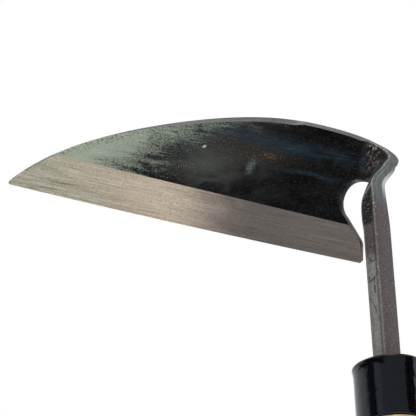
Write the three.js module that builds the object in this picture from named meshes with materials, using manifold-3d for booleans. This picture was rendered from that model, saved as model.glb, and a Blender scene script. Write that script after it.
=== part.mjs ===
// Hand sickle with a single-bevel blade, a joggled bar neck and an oval wooden handle.
// Millimetres, +Z up along the handle, origin at the centre of the handle's butt face.
// The blade points to -X and its bevelled face looks to -Y.

import * as THREE from "three";
import { mergeVertices } from "three/addons/utils/BufferGeometryUtils.js";
import Module from "manifold-3d";

const wasm = await Module();
wasm.setup();

// ---------------------------------------------------------------- driving dimensions

const GAP = 0.3; // clearance between pieces that touch

const MOUTH = 330; // level of the ferrule's mouth above the butt
const FERRULE_LENGTH = 22.4;
const FERRULE_RADIUS = 12.9; // half width of the oval, along X
const OVAL = 0.924; // every oval is this much narrower along Y
const FERRULE_WALL = 1.2;
const FERRULE_BEAD = 0.35; // how far the bead at the mouth stands proud
const FERRULE_FLANGE = 1.6; // rim turned in over the end grain

const BUTT_RADIUS = 16.4;
const SWELL_RADIUS = 14.6; // the palm swell
const WAIST_RADIUS = 13.5; // above the butt
const BUTT_ROUND = 2;

const EDGE_LENGTH = 187; // heel to tip, along the cutting edge
const EDGE_BELLY = 0.6; // how far the middle of the edge curves out
const BLADE_HEIGHT = 49; // edge to spine at the widest place
const BLADE_THICK_HEEL = 3.4;
const BLADE_THICK_TIP = 2.4;
const SHOULDER_EXTRA = 1; // the blade is this much thicker at its shoulder
const EDGE_LAND = 0.3; // flat left at the cutting edge
const BEVEL_WIDTH_HEEL = 12.6;
const BEVEL_WIDTH_TIP = 16.8;
const BLADE_LEAN = THREE.MathUtils.degToRad(15); // the spine leans forward of the edge
const BLADE_YAW = THREE.MathUtils.degToRad(5.5); // the tip swings forward of the heel
const EDGE_RISE = THREE.MathUtils.degToRad(28); // the edge climbs from heel to tip
const HEEL = new THREE.Vector3(-22, 14.6, MOUTH + 54.7); // front of the blade at the heel

const STEEL_HEIGHT = 21; // hard steel strip, up from the cutting edge
const STEEL_THICK = 1.2; // pocket that it sits in

const NECK_LEFT = -2.7;
const NECK_RIGHT = 3.5;
const NECK_DEPTH = 8.6;
const NECK_DRAWN = 1.4; // how much thinner the neck is just below the joggle
const NECK_MIDDLE = -0.4; // middle of the neck, front to back
const JOGGLE_LOW = 65; // above the mouth, where the joggle leaves the neck on the left
const JOGGLE_HIGH = 94; // and where it has reached the blade's plane
const JOGGLE_BULGE = 0.8; // extra metal at the back of the bend
const FINE_LEFT = -16; // the forging is flat to the left of this

const TANG_LENGTH = 78; // below the mouth
const TANG_DEPTH = 5;
const TANG_HOOK = 5; // the tang's end, turned towards the blade's side
const TANG_TAPER = 12; // the neck thins to the tang over this length

const WEDGE_LENGTH = 18;
const WEDGE_THICK = 2.4; // at the mouth, half of that at its foot
const PIN_RADIUS = 1.6;
const PIN_DROP = 40; // cross pin below the mouth
const TACK_RADIUS = 1;
const TACK_DROP = 14;

// ---------------------------------------------------------------- helpers

function merged(geometry) {
  const bare = geometry.clone();
  bare.deleteAttribute("normal");
  bare.deleteAttribute("uv");
  return mergeVertices(bare, 1e-4);
}

function solidOf(geometry) {
  const bare = merged(geometry);
  const mesh = new wasm.Mesh({
    numProp: 3,
    vertProperties: new Float32Array(bare.attributes.position.array),
    triVerts: new Uint32Array(bare.index.array),
  });
  return new wasm.Manifold(mesh);
}

function geometryOf(solid) {
  const mesh = solid.getMesh();
  const geometry = new THREE.BufferGeometry();
  geometry.setAttribute("position", new THREE.BufferAttribute(mesh.vertProperties, 3));
  geometry.setIndex(new THREE.BufferAttribute(mesh.triVerts, 1));
  geometry.computeVertexNormals();
  return geometry;
}

function moveVertices(geometry, move) {
  const position = geometry.attributes.position;
  const point = new THREE.Vector3();
  for (let i = 0; i < position.count; i += 1) {
    point.fromBufferAttribute(position, i);
    move(point);
    position.setXYZ(i, point.x, point.y, point.z);
  }
  return geometry;
}

// A round profile of [radius, z] pairs turned about Z, then squeezed to an oval.
function ovalTurning(profile, segments) {
  const points = profile.map(([radius, z]) => new THREE.Vector2(radius, z));
  const geometry = new THREE.LatheGeometry(points, segments);
  geometry.rotateX(Math.PI / 2);
  geometry.scale(1, OVAL, 1);
  return geometry;
}

function block(x0, x1, y0, y1, z0, z1) {
  const geometry = new THREE.BoxGeometry(x1 - x0, y1 - y0, z1 - z0);
  geometry.translate((x0 + x1) / 2, (y0 + y1) / 2, (z0 + z1) / 2);
  return geometry;
}

// A round rod along Y, through x and z.
function rod(radius, y0, y1, x, z) {
  const geometry = new THREE.CylinderGeometry(radius, radius, y1 - y0, 24);
  geometry.translate(x, (y0 + y1) / 2, z);
  return geometry;
}

function addMesh(group, name, geometry, material) {
  const mesh = new THREE.Mesh(geometry, material);
  mesh.name = name;
  group.add(mesh);
}

// ---------------------------------------------------------------- the blade's plane

// Blade coordinates: s runs up the cutting edge from the heel, w is the height above the edge
// and depth is measured back from the blade's front plane.
const BLADE_TURN = new THREE.Euler(BLADE_LEAN, 0, BLADE_YAW, "ZXY");
const RISE_COS = Math.cos(EDGE_RISE);
const RISE_SIN = Math.sin(EDGE_RISE);
const ALONG_EDGE = new THREE.Vector3(-RISE_COS, 0, RISE_SIN).applyEuler(BLADE_TURN);
const TO_SPINE = new THREE.Vector3(RISE_SIN, 0, RISE_COS).applyEuler(BLADE_TURN);
const BACK = new THREE.Vector3(0, 1, 0).applyEuler(BLADE_TURN);

function bladePoint(s, w, depth = 0) {
  const point = HEEL.clone().addScaledVector(ALONG_EDGE, s).addScaledVector(TO_SPINE, w);
  return point.addScaledVector(BACK, depth);
}

// Y of the blade's front plane, seen from the front at x and z.
function bladeFront(x, z) {
  return HEEL.y - ((x - HEEL.x) * BACK.x + (z - HEEL.z) * BACK.z) / BACK.y;
}

function bladeThickness(s) {
  return THREE.MathUtils.mapLinear(s, 0, EDGE_LENGTH, BLADE_THICK_HEEL, BLADE_THICK_TIP);
}

function bevelWidth(s) {
  return THREE.MathUtils.mapLinear(s, 0, EDGE_LENGTH, BEVEL_WIDTH_HEEL, BEVEL_WIDTH_TIP);
}

// A bar that follows the edge from s0 to s1. Its section is given at each s by the depths of its
// front and back along a lower and an upper line: {low: [w, front, back], high: [w, front, back]}.
function barAlongEdge(s0, s1, section) {
  const bar = new THREE.BoxGeometry(1, 1, 1, 12, 1, 1);
  return moveVertices(bar, (point) => {
    const s = THREE.MathUtils.lerp(s0, s1, point.x + 0.5);
    const { low, high } = section(s);
    const [w, front, back] = point.y < 0 ? low : high;
    point.copy(bladePoint(s, w, point.z < 0 ? front : back));
  });
}

// ---------------------------------------------------------------- blade forging

// The whole forging seen from the front: edge, tip, spine, shoulder, neck, tang and throat.
function forgingOutline() {
  const shape = new THREE.Shape();
  const onBlade = (s, w) => {
    const point = bladePoint(s, w);
    return [point.x, point.z];
  };
  const tangEnd = MOUTH - TANG_LENGTH;
  shape.moveTo(...onBlade(1.4, 0));
  shape.quadraticCurveTo(...onBlade(EDGE_LENGTH / 2, -2 * EDGE_BELLY), ...onBlade(EDGE_LENGTH - 0.8, -0.2));
  shape.quadraticCurveTo(...onBlade(EDGE_LENGTH + 0.8, 0.2), ...onBlade(EDGE_LENGTH, 1));
  shape.bezierCurveTo(...onBlade(182.7, 6), ...onBlade(158.5, 18.7), ...onBlade(148.3, 23.1));
  shape.bezierCurveTo(...onBlade(130.8, 30.7), ...onBlade(79.5, BLADE_HEIGHT), ...onBlade(40, BLADE_HEIGHT));
  shape.bezierCurveTo(...onBlade(21, BLADE_HEIGHT), ...onBlade(-9.4, 46.6), ...onBlade(-7.1, 38));
  shape.quadraticCurveTo(NECK_RIGHT + 0.5, MOUTH + 78, NECK_RIGHT, MOUTH + 72);
  shape.lineTo(NECK_RIGHT, tangEnd);
  shape.lineTo(NECK_LEFT - TANG_HOOK, tangEnd);
  shape.lineTo(NECK_LEFT - TANG_HOOK, tangEnd + TANG_HOOK);
  shape.lineTo(NECK_LEFT, tangEnd + TANG_HOOK);
  shape.lineTo(NECK_LEFT, MOUTH + 54);
  shape.bezierCurveTo(-3.4, MOUTH + 60, -3.4, MOUTH + 65, -1.6, MOUTH + 69);
  shape.bezierCurveTo(-0.4, MOUTH + 71.5, -0.8, MOUTH + 75, -2, MOUTH + 77);
  shape.bezierCurveTo(-3.6, MOUTH + 81, -8, MOUTH + 82, -10.6, MOUTH + 82.8);
  shape.bezierCurveTo(-15, MOUTH + 85.5, -19, MOUTH + 84.8, -21.6, MOUTH + 82.3);
  shape.bezierCurveTo(-24.6, MOUTH + 79.5, -24.8, MOUTH + 76, -23.2, MOUTH + 72.9);
  shape.lineTo(-20, MOUTH + 63.6);
  shape.quadraticCurveTo(-19.6, MOUTH + 62.2, -20, MOUTH + 61);
  shape.lineTo(...onBlade(0.3, 1.4));
  shape.closePath();
  return shape;
}

// 0 on the neck and 1 in the blade's plane. The run between starts lower and ends higher on the
// left, and left of the neck it dies out towards the throat.
function joggle(x, z) {
  const side = x - NECK_LEFT;
  const start = MOUTH + JOGGLE_LOW + 1.1 * side;
  const end = MOUTH + JOGGLE_HIGH + (side > 0 ? -0.5 : 2.7) * side;
  const beyondThroat = 1 - THREE.MathUtils.smoothstep(x, -14, -9);
  return Math.max(THREE.MathUtils.smoothstep(z, start, end), beyondThroat);
}

// Front and back of the neck and tang, as y. The neck is drawn thinner at its back, under the
// joggle.
function neckFaces(z) {
  const tang = THREE.MathUtils.smoothstep(z, MOUTH - TANG_TAPER, MOUTH);
  const drawn = THREE.MathUtils.smoothstep(z, MOUTH + 54, MOUTH + 74);
  const thick = THREE.MathUtils.lerp(TANG_DEPTH, NECK_DEPTH, tang);
  return { front: NECK_MIDDLE - thick / 2, thick: thick - NECK_DRAWN * drawn };
}

// Front and back of the forging, as y, at a point of its outline.
function forgingFaces(x, z) {
  const inBlade = joggle(x, z);
  const alongEdge = new THREE.Vector3(x, bladeFront(x, z), z).sub(HEEL).dot(ALONG_EDGE);
  const shoulder = SHOULDER_EXTRA * THREE.MathUtils.smoothstep(x, FINE_LEFT, NECK_LEFT);
  const bladeThick = (bladeThickness(alongEdge) + shoulder) / BACK.y;
  const bulge = JOGGLE_BULGE * 4 * inBlade * (1 - inBlade);
  const neck = neckFaces(z);
  const front = THREE.MathUtils.lerp(neck.front, bladeFront(x, z), inBlade);
  return { front, back: front + THREE.MathUtils.lerp(neck.thick, bladeThick, inBlade) + bulge };
}

// Places of the grid lines from low to high: one coarse step each side of a fine stretch.
function stations(low, fineLow, fineHigh, high, step) {
  const count = Math.round((fineHigh - fineLow) / step);
  const place = (_, i) => THREE.MathUtils.lerp(fineLow, fineHigh, i / count);
  return [low, ...Array.from({ length: count + 1 }, place), high];
}

// A slab over the whole outline whose front and back are the forging's faces, cut to the outline.
function forgingBlank() {
  const columns = stations(-200, FINE_LEFT, 6, 12, 1.5);
  const rows = stations(MOUTH - 100, MOUTH - TANG_TAPER, MOUTH + JOGGLE_HIGH + 2, MOUTH + 160, 2);
  const slab = new THREE.BoxGeometry(1, 1, 1, columns.length - 1, 1, rows.length - 1);
  moveVertices(slab, (point) => {
    const x = columns[Math.round((point.x + 0.5) * (columns.length - 1))];
    const z = rows[Math.round((point.z + 0.5) * (rows.length - 1))];
    const faces = forgingFaces(x, z);
    point.set(x, point.y < 0 ? faces.front : faces.back, z);
  });
  const depth = 120;
  const options = { depth, bevelEnabled: false, curveSegments: 12 };
  const prism = new THREE.ExtrudeGeometry(forgingOutline(), options);
  prism.rotateX(Math.PI / 2);
  prism.translate(0, depth / 2, 0);
  return solidOf(slab).intersect(solidOf(prism));
}

// Everything in front of the bevel, from the line on the front face down past the edge.
function bevelCutter() {
  const above = 1.5;
  const below = 6;
  const clear = -6;
  return barAlongEdge(-2, EDGE_LENGTH + 8, (s) => {
    const width = bevelWidth(s);
    const slope = (bladeThickness(s) - EDGE_LAND) / width;
    return {
      low: [-below, clear, slope * (width + below)],
      high: [width + above, clear, -slope * above],
    };
  });
}

// The place of the hard steel strip: the back of the blade along its edge.
function steelBlock(clearance) {
  const top = STEEL_HEIGHT - clearance;
  return barAlongEdge(-6, EDGE_LENGTH + 8, (s) => {
    const front = bladeThickness(s) - STEEL_THICK + clearance;
    return { low: [-6, front, front + 6], high: [top, front, front + 6] };
  });
}

const ground = forgingBlank().subtract(solidOf(bevelCutter()));
const pinHole = rod(PIN_RADIUS + GAP, -20, 20, (NECK_LEFT + NECK_RIGHT) / 2, MOUTH - PIN_DROP);
const forging = ground.subtract(solidOf(steelBlock(0))).subtract(solidOf(pinHole));
const edgeSteel = ground.intersect(solidOf(steelBlock(GAP)));

// ---------------------------------------------------------------- handle

const HEAD_RADIUS = FERRULE_RADIUS - FERRULE_WALL - GAP;
const HEAD_TOP = MOUTH - FERRULE_WALL - GAP;
const HEAD_FOOT = MOUTH - FERRULE_LENGTH - GAP;
const SLOT_FRONT = NECK_MIDDLE - TANG_DEPTH / 2 - GAP;
const SLOT_BACK = NECK_MIDDLE + TANG_DEPTH / 2 + GAP;
const SLOT_END = MOUTH - TANG_LENGTH - GAP;

function handleBody() {
  const grip = new THREE.SplineCurve([
    new THREE.Vector2(BUTT_RADIUS, BUTT_ROUND),
    new THREE.Vector2(BUTT_RADIUS - 0.4, 14),
    new THREE.Vector2(WAIST_RADIUS, 46),
    new THREE.Vector2(SWELL_RADIUS, 110),
    new THREE.Vector2(SWELL_RADIUS - 0.3, 170),
    new THREE.Vector2(FERRULE_RADIUS, HEAD_FOOT - 40),
    new THREE.Vector2(FERRULE_RADIUS, HEAD_FOOT),
  ]);
  const round = [0, 30, 60].map((angle) => {
    const turn = THREE.MathUtils.degToRad(angle);
    return [BUTT_RADIUS - BUTT_ROUND * (1 - Math.sin(turn)), BUTT_ROUND * (1 - Math.cos(turn))];
  });
  const profile = [
    [0, 0],
    ...round,
    ...grip.getPoints(30).map((point) => point.toArray()),
    [HEAD_RADIUS, HEAD_FOOT],
    [HEAD_RADIUS, HEAD_TOP],
    [0, HEAD_TOP],
  ];
  return solidOf(ovalTurning(profile, 48));
}

// Room for the neck's taper, the tang and its hook, open to the left of the handle.
function tangSlot() {
  const slot = solidOf(block(-30, NECK_RIGHT + GAP, SLOT_FRONT, SLOT_BACK, SLOT_END, MOUTH));
  const half = NECK_DEPTH / 2 + GAP;
  const foot = MOUTH - TANG_TAPER;
  const mouth = block(NECK_LEFT - GAP, NECK_RIGHT + GAP, NECK_MIDDLE - half, NECK_MIDDLE + half, foot, MOUTH);
  return slot.add(solidOf(mouth));
}

// A wedge right of the tang, thick at the mouth and thin at its foot.
function wedge(clearance) {
  const left = NECK_RIGHT + GAP - clearance;
  const top = HEAD_TOP + (clearance > 0 ? 1 : -0.1);
  const foot = HEAD_TOP - WEDGE_LENGTH - clearance;
  const shape = new THREE.Shape();
  shape.moveTo(left, foot);
  shape.lineTo(NECK_RIGHT + GAP + WEDGE_THICK / 2 + clearance, foot);
  shape.lineTo(NECK_RIGHT + GAP + WEDGE_THICK + clearance, top);
  shape.lineTo(left, top);
  shape.closePath();
  const depth = TANG_DEPTH + 2 * clearance;
  const geometry = new THREE.ExtrudeGeometry(shape, { depth, bevelEnabled: false });
  geometry.rotateX(Math.PI / 2);
  geometry.translate(0, NECK_MIDDLE + depth / 2, 0);
  return geometry;
}

function slotKey(body) {
  const hookTop = MOUTH - TANG_LENGTH + TANG_HOOK;
  const key = block(-30, NECK_LEFT - GAP, SLOT_FRONT + GAP, SLOT_BACK - GAP, hookTop + GAP, MOUTH);
  return body.intersect(solidOf(key));
}

const body = handleBody();
const tackHole = rod(TACK_RADIUS + GAP, FERRULE_RADIUS * OVAL - 7, 20, 0, MOUTH - TACK_DROP);
const handle = body
  .subtract(tangSlot())
  .subtract(solidOf(wedge(GAP)))
  .subtract(solidOf(pinHole))
  .subtract(solidOf(tackHole));

// ---------------------------------------------------------------- ferrule, pin and tack

function ferruleRing() {
  const outer = FERRULE_RADIUS;
  const bead = FERRULE_RADIUS + FERRULE_BEAD;
  const inner = FERRULE_RADIUS - FERRULE_WALL;
  const foot = MOUTH - FERRULE_LENGTH;
  const profile = [
    [inner, foot],
    [outer - 0.3, foot],
    [outer, foot + 0.3],
    [outer, MOUTH - 1.5],
    [bead, MOUTH - 1.2],
    [bead, MOUTH - 0.2],
    [outer, MOUTH],
    [inner - FERRULE_FLANGE + 0.3, MOUTH],
    [inner - FERRULE_FLANGE, MOUTH - 0.3],
    [inner - FERRULE_FLANGE, MOUTH - FERRULE_WALL],
    [inner, MOUTH - FERRULE_WALL],
    [inner, foot],
  ];
  return solidOf(ovalTurning(profile, 64)).subtract(solidOf(tackHole));
}

// A domed head on a plain shank, driven in from the back.
function tack() {
  const headRadius = 2.4;
  const headFoot = FERRULE_RADIUS * OVAL + 0.1;
  const profile = [
    [0, headFoot - 6],
    [TACK_RADIUS, headFoot - 4.5],
    [TACK_RADIUS, headFoot],
    [headRadius, headFoot],
    [headRadius * 0.8, headFoot + 0.5],
    [headRadius * 0.4, headFoot + 0.8],
    [0, headFoot + 0.85],
  ];
  const points = profile.map(([radius, y]) => new THREE.Vector2(radius, y));
  const geometry = new THREE.LatheGeometry(points, 20);
  geometry.translate(0, 0, MOUTH - TACK_DROP);
  return geometry;
}

function crossPin() {
  const reach = FERRULE_RADIUS * OVAL - 0.2;
  return rod(PIN_RADIUS, -reach, reach, (NECK_LEFT + NECK_RIGHT) / 2, MOUTH - PIN_DROP);
}

// ---------------------------------------------------------------- assembly

const metal = (color, roughness) => new THREE.MeshStandardMaterial({ color, roughness, metalness: 1 });
const wood = (color) => new THREE.MeshStandardMaterial({ color, roughness: 0.6, metalness: 0 });
const gloss = new THREE.MeshStandardMaterial({ color: 0x0c0c0e, roughness: 0.12, metalness: 0 });

const sickle = new THREE.Group();
addMesh(sickle, "blade_forging", geometryOf(forging), metal(0x2c3032, 0.45));
addMesh(sickle, "edge_steel", geometryOf(edgeSteel), metal(0x8d8478, 0.4));
addMesh(sickle, "ferrule", geometryOf(ferruleRing()), gloss);
addMesh(sickle, "handle", geometryOf(handle), wood(0xc79a66));
addMesh(sickle, "slot_key", geometryOf(slotKey(body)), wood(0xb98a58));
addMesh(sickle, "tang_wedge", wedge(0), wood(0xa87a4b));
addMesh(sickle, "cross_pin", crossPin(), metal(0x8a8a88, 0.35));
addMesh(sickle, "ferrule_tack", tack(), metal(0x6d6a66, 0.4));

export default sickle;
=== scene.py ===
"""Looks of the hand sickle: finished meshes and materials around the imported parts."""
import math

import bmesh
import bpy
import numpy as np
from mathutils import Matrix, Vector, noise
from mathutils.geometry import delaunay_2d_cdt


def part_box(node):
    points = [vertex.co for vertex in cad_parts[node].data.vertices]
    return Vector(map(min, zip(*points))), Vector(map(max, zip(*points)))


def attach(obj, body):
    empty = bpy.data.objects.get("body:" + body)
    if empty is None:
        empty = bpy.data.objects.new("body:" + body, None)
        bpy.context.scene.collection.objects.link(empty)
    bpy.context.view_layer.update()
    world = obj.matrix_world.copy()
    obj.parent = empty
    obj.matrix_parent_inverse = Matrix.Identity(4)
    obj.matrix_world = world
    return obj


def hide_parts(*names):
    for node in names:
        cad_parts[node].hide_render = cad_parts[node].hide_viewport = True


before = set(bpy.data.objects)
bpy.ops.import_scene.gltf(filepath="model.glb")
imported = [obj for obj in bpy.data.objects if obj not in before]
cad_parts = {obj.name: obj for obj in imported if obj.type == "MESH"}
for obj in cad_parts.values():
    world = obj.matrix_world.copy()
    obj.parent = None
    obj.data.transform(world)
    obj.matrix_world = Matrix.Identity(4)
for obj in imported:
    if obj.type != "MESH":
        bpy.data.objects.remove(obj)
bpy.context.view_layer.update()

MM = 0.001  # the frame is in metres, and every size below is in millimetres


def node_box(node):
    low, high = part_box(node)
    return np.array(low) / MM, np.array(high) / MM


# ---- sizes taken from the frame

FERRULE_LOW, FERRULE_HIGH = node_box("ferrule")
_, HANDLE_HIGH = node_box("handle")
KEY_LOW, KEY_HIGH = node_box("slot_key")
WEDGE_LOW, WEDGE_HIGH = node_box("tang_wedge")
PIN_LOW, PIN_HIGH = node_box("cross_pin")
TACK_LOW, TACK_HIGH = node_box("ferrule_tack")
FORGING_LOW, _ = node_box("blade_forging")

PIN_X = (PIN_LOW[0] + PIN_HIGH[0]) / 2
PIN_Z = (PIN_LOW[2] + PIN_HIGH[2]) / 2
PIN_RADIUS = (PIN_HIGH[0] - PIN_LOW[0]) / 2
PIN_DOME = 0.35
TACK_Z = (TACK_LOW[2] + TACK_HIGH[2]) / 2
TACK_RADIUS = 1
TACK_POINT = 1.5
TACK_DOME = 0.85
SLOT_FRONT = KEY_LOW[1]
SLOT_BACK = KEY_HIGH[1]
OVERRUN = 30  # how far a cutter reaches past the piece

MOUTH = FERRULE_HIGH[2]
FERRULE_FOOT = FERRULE_LOW[2]
FERRULE_BEAD = 0.35
FERRULE_RADIUS = FERRULE_HIGH[0] - FERRULE_BEAD
OVAL = FERRULE_HIGH[1] / FERRULE_HIGH[0]
FERRULE_WALL = 1.2
FERRULE_FLANGE = 1.6
FERRULE_FLARE = (0.03, 0.09, 0.18, 0.28)  # how far the wall stands out on its way to the bead

BUTT_RADIUS = HANDLE_HIGH[0]
BUTT_ROUND = 2
WAIST_RADIUS = 13.5
SWELL_RADIUS = 14.6
HEAD_TOP = HANDLE_HIGH[2]
HEAD_FOOT = FERRULE_FOOT - 0.3
HEAD_RADIUS = FERRULE_RADIUS - FERRULE_WALL - 0.3
FIT = 0.06  # hairline left between pieces that are driven together

EDGE_LENGTH = 187
EDGE_BELLY = 0.6
BLADE_HEIGHT = 49
BLADE_THICK_HEEL = 3.4
BLADE_THICK_TIP = 2.4
SHOULDER_EXTRA = 1
EDGE_LAND = 0.3
BEVEL_WIDTH_HEEL = 12.6
BEVEL_WIDTH_TIP = 16.8
BLADE_LEAN = math.radians(15)
BLADE_YAW = math.radians(5.5)
EDGE_RISE = math.radians(28)
HEEL = np.array([-22, 14.6, MOUTH + 54.7])

STEEL_HEIGHT = 21
STEEL_THICK = 1.2

NECK_LEFT = -2.7
NECK_RIGHT = 3.5
NECK_DEPTH = 8.6
NECK_MIDDLE = -0.4
NECK_DRAWN = 1.4  # how much thinner it is drawn, and over which heights above the mouth
NECK_DRAWN_FROM = 54
NECK_DRAWN_TO = 74
JOGGLE_LOW = 65  # where it starts and ends above the mouth, and how that slopes across the neck
JOGGLE_HIGH = 94
JOGGLE_LOW_SLOPE = 1.1
JOGGLE_HIGH_SLOPES = (-0.5, 2.7)
JOGGLE_BULGE = 0.8
BLADE_END = -14  # left of this there is only blade
FINE_LEFT = -16  # right of this the mesh takes the fine step
FINE_STEP = 0.7
COARSE_STEP = 1.7

TANG_FOOT = FORGING_LOW[2]
TANG_DEPTH = 5
TANG_HOOK = 5
TANG_TAPER = 12

SPINE_FROM = 2  # where the spine starts along the edge
CHAMFER_WIDTH = 2.3  # ground strip along the spine
CHAMFER_FROM = 36  # along the edge: the full width, where it thins, and where it dies out
CHAMFER_THINS = 66
CHAMFER_TO = 150
RIBBON_WIDTH = 1.5  # the same strip carried on to the corner
CHAMFER_SLOPE = math.tan(math.radians(36))

# ---- the blade's plane

BLADE_TURN = Matrix.Rotation(BLADE_YAW, 3, "Z") @ Matrix.Rotation(BLADE_LEAN, 3, "X")
ALONG = np.array(BLADE_TURN @ Vector((-math.cos(EDGE_RISE), 0, math.sin(EDGE_RISE))))
SPINE = np.array(BLADE_TURN @ Vector((math.sin(EDGE_RISE), 0, math.cos(EDGE_RISE))))
BACK = np.array(BLADE_TURN @ Vector((0, 1, 0)))


def blade_point(s, w, depth=0.0):
    """s up the edge from the heel, w above the edge, depth behind the front plane."""
    return HEEL + s * ALONG + w * SPINE + depth * BACK


def on_blade(s, w):
    point = blade_point(s, w)
    return point[0], point[2]


def blade_coordinates(x, y, z):
    offset = np.stack([x - HEEL[0], y - HEEL[1], z - HEEL[2]], axis=-1)
    return offset @ ALONG, offset @ SPINE


def blade_front(x, z):
    return HEEL[1] - ((x - HEEL[0]) * BACK[0] + (z - HEEL[2]) * BACK[2]) / BACK[1]


def blade_thickness(s):
    return BLADE_THICK_HEEL + (BLADE_THICK_TIP - BLADE_THICK_HEEL) * s / EDGE_LENGTH


def bevel_width(s):
    return BEVEL_WIDTH_HEEL + (BEVEL_WIDTH_TIP - BEVEL_WIDTH_HEEL) * s / EDGE_LENGTH


def seam_height(s):
    """Where the bevel crosses from the iron into the steel strip."""
    ground = blade_thickness(s) - EDGE_LAND
    return bevel_width(s) * (STEEL_THICK - EDGE_LAND) / ground


def smoothstep(value, low, high):
    t = np.clip((value - low) / (high - low), 0, 1)
    return t * t * (3 - 2 * t)


def joggle(x, z):
    """0 on the neck and 1 in the blade's plane."""
    side = x - NECK_LEFT
    start = MOUTH + JOGGLE_LOW + JOGGLE_LOW_SLOPE * side
    end = MOUTH + JOGGLE_HIGH + np.where(side > 0, *JOGGLE_HIGH_SLOPES) * side
    beyond_throat = 1 - smoothstep(x, BLADE_END, BLADE_END + 5)
    return np.maximum(smoothstep(z, start, np.maximum(end, start + 1)), beyond_throat)


def forging_faces(x, z):
    """Front and back of the forging, as y."""
    in_blade = joggle(x, z)
    flat = blade_front(x, z)
    s, _ = blade_coordinates(x, flat, z)
    shoulder = SHOULDER_EXTRA * smoothstep(x, FINE_LEFT, NECK_LEFT)
    blade_thick = (blade_thickness(s) + shoulder) / BACK[1]
    bulge = JOGGLE_BULGE * 4 * in_blade * (1 - in_blade)
    tang = smoothstep(z, MOUTH - TANG_TAPER, MOUTH)
    neck_thick = TANG_DEPTH + (NECK_DEPTH - TANG_DEPTH) * tang
    neck_front = NECK_MIDDLE - neck_thick / 2
    neck_thick = neck_thick - NECK_DRAWN * smoothstep(z, MOUTH + NECK_DRAWN_FROM, MOUTH + NECK_DRAWN_TO)
    front = neck_front + (flat - neck_front) * in_blade
    return front, front + neck_thick + (blade_thick - neck_thick) * in_blade + bulge


def bevel_front(x, z):
    """y of the ground bevel."""
    flat = blade_front(x, z)
    y = flat
    for _ in range(5):
        s, w = blade_coordinates(x, y, z)
        slope = (blade_thickness(s) - EDGE_LAND) / bevel_width(s)
        y = flat + slope * (bevel_width(s) - w) / BACK[1]
    return y


# ---- outline of the forging

def bezier(controls, step):
    """Points along a Bezier curve of any degree, without its first one."""
    points = np.array(controls, float)
    reach = np.linalg.norm(np.diff(points, axis=0), axis=1).sum()
    count = max(1, round(reach / step))
    out = []
    for i in range(1, count + 1):
        row = points
        while len(row) > 1:
            row = row[:-1] + (row[1:] - row[:-1]) * (i / count)
        out.append(row[0])
    return out


def outline_samples(step):
    """Points round the forging, clockwise from the heel. With each one go the rounding of the
    front arris, that of the back arris, and how bright the arris is worn, partly as painted highlight, from
    0 to 1."""
    low = MOUTH + 54  # here the left side of the neck starts to curve
    tang = [
        (NECK_RIGHT, MOUTH - TANG_TAPER),
        (NECK_RIGHT, TANG_FOOT),
        (NECK_LEFT - TANG_HOOK, TANG_FOOT),
        (NECK_LEFT - TANG_HOOK, TANG_FOOT + TANG_HOOK),
        (NECK_LEFT, TANG_FOOT + TANG_HOOK),
        (NECK_LEFT, MOUTH - TANG_TAPER),
    ]
    pieces = [
        (
            (0.04, 0.04, 0),
            [on_blade(EDGE_LENGTH / 2, -2 * EDGE_BELLY), on_blade(EDGE_LENGTH - 0.8, -0.2)],
        ),
        ((0.10, 0.10, 0), [on_blade(EDGE_LENGTH + 0.8, 0.2), on_blade(EDGE_LENGTH, 1)]),
        ((0.45, 0.20, 0), [on_blade(182.7, 6), on_blade(158.5, 18.7), on_blade(148.3, 23.1)]),
        (
            (1.10, 0.30, 0.6),
            [on_blade(130.8, 30.7), on_blade(79.5, BLADE_HEIGHT), on_blade(40, BLADE_HEIGHT)],
        ),
        ((1.20, 0.30, 1), [on_blade(21, BLADE_HEIGHT), on_blade(-9.4, 46.6), on_blade(-7.1, 38)]),
        ((0.60, 0.30, 1), [(NECK_RIGHT + 0.5, MOUTH + 78), (NECK_RIGHT, MOUTH + 72)]),
        ((0.90, 0.35, 0.8), [(NECK_RIGHT, low - 10)]),
        ((0.90, 0.35, 0.8), [(NECK_RIGHT, MOUTH)]),
        *[((0.30, 0.30, 0), [corner]) for corner in tang],
        ((0.45, 0.45, 0.3), [(NECK_LEFT, MOUTH)]),
        ((0.45, 0.45, 0.3), [(NECK_LEFT, low)]),
        ((0.35, 0.40, 0.2), [(-3.4, low + 6), (-3.4, low + 11), (-1.6, low + 15)]),
        ((0.30, 0.35, 0), [(-0.4, low + 17.5), (-0.8, low + 21), (-2, low + 23)]),
        ((0.30, 0.35, 0), [(-3.6, low + 27), (-8, low + 28), (-10.6, low + 28.8)]),
        ((0.30, 0.30, 0), [(-15, low + 31.5), (-19, low + 30.8), (-21.6, low + 28.3)]),
        ((0.25, 0.25, 0), [(-24.6, low + 25.5), (-24.8, low + 22), (-23.2, low + 18.9)]),
        ((0.20, 0.20, 0), [(-20, low + 9.6)]),
        ((0.15, 0.15, 0), [(-19.6, low + 8.2), (-20, low + 7)]),
        ((0.15, 0.15, 0), [on_blade(0.3, 1.4)]),
        ((0.04, 0.04, 0), [on_blade(1.4, 0)]),
    ]
    points = []
    edges = []
    last = on_blade(1.4, 0)
    last_edge = np.array(pieces[-1][0])
    for edge, controls in pieces:
        new = bezier([last, *controls], step)
        points += new
        edges += [last_edge + (edge - last_edge) * i / len(new) for i in range(1, len(new) + 1)]
        last, last_edge = controls[-1], np.array(edge)
    return np.array(points), np.array(edges)


RIM, RIM_EDGE = outline_samples(FINE_STEP)


def rim_inward():
    """Unit vectors from each outline point into the metal."""
    along = np.roll(RIM, -1, axis=0) - np.roll(RIM, 1, axis=0)
    along /= np.linalg.norm(along, axis=1)[:, None]
    return np.stack([along[:, 1], -along[:, 0]], axis=1)


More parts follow.
